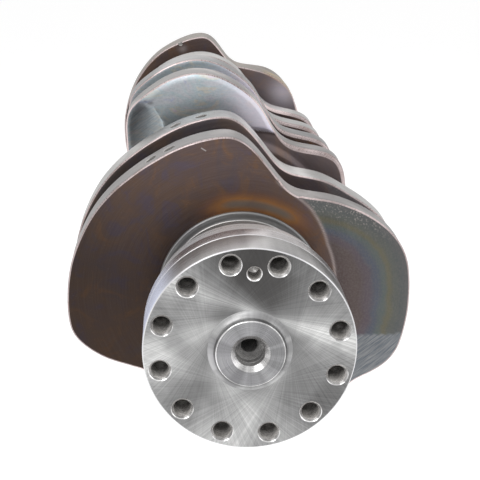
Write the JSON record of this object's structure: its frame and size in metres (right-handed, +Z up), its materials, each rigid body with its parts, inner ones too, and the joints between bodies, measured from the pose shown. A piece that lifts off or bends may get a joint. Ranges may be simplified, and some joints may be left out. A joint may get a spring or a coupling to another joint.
{
  "type": "crankshaft",
  "caption": "Forged steel crankshaft with shaped counterweight webs, offset crankpins, a bolted flywheel flange with pilot boss, and a stepped nose with timing gear.",
  "frame": {"origin": "on the rotation axis, in the middle of the centre main journal", "axes": "+Y along the rotation axis from the flywheel flange towards the nose, +Z up, +X to the right seen from the flywheel end"},
  "size_m": [0.2276, 0.6679, 0.2291],
  "materials": {
    "turned_steel": "bright turned steel with radial and circular tool marks",
    "ground_journal_steel": "fine ground and polished journals",
    "tempered_forged_steel": "milled faces with brown, straw and blue temper colours, bright milled rims",
    "hardened_gear_steel": "hardened and ground gear steel",
    "key_steel": "drawn key steel, lightly oiled"
  },
  "bodies": {
    "root": {"flywheel_flange": "turned_steel", "pilot_boss": "turned_steel", "thrust_collar": "turned_steel", "nose_shaft": "turned_steel", "crankpin_1": "ground_journal_steel", "crankpin_2": "ground_journal_steel", "crankpin_3": "ground_journal_steel", "crankpin_4": "ground_journal_steel", "main_journal_1": "ground_journal_steel", "main_journal_2": "ground_journal_steel", "main_journal_3": "ground_journal_steel", "main_journal_4": "ground_journal_steel", "main_journal_5": "ground_journal_steel", "web_1": "tempered_forged_steel", "web_2": "tempered_forged_steel", "web_3": "tempered_forged_steel", "web_4": "tempered_forged_steel", "web_5": "tempered_forged_steel", "web_6": "tempered_forged_steel", "web_7": "tempered_forged_steel", "web_8": "tempered_forged_steel", "timing_gear": "hardened_gear_steel", "nose_key": "key_steel"}
  },
  "joints": []
}
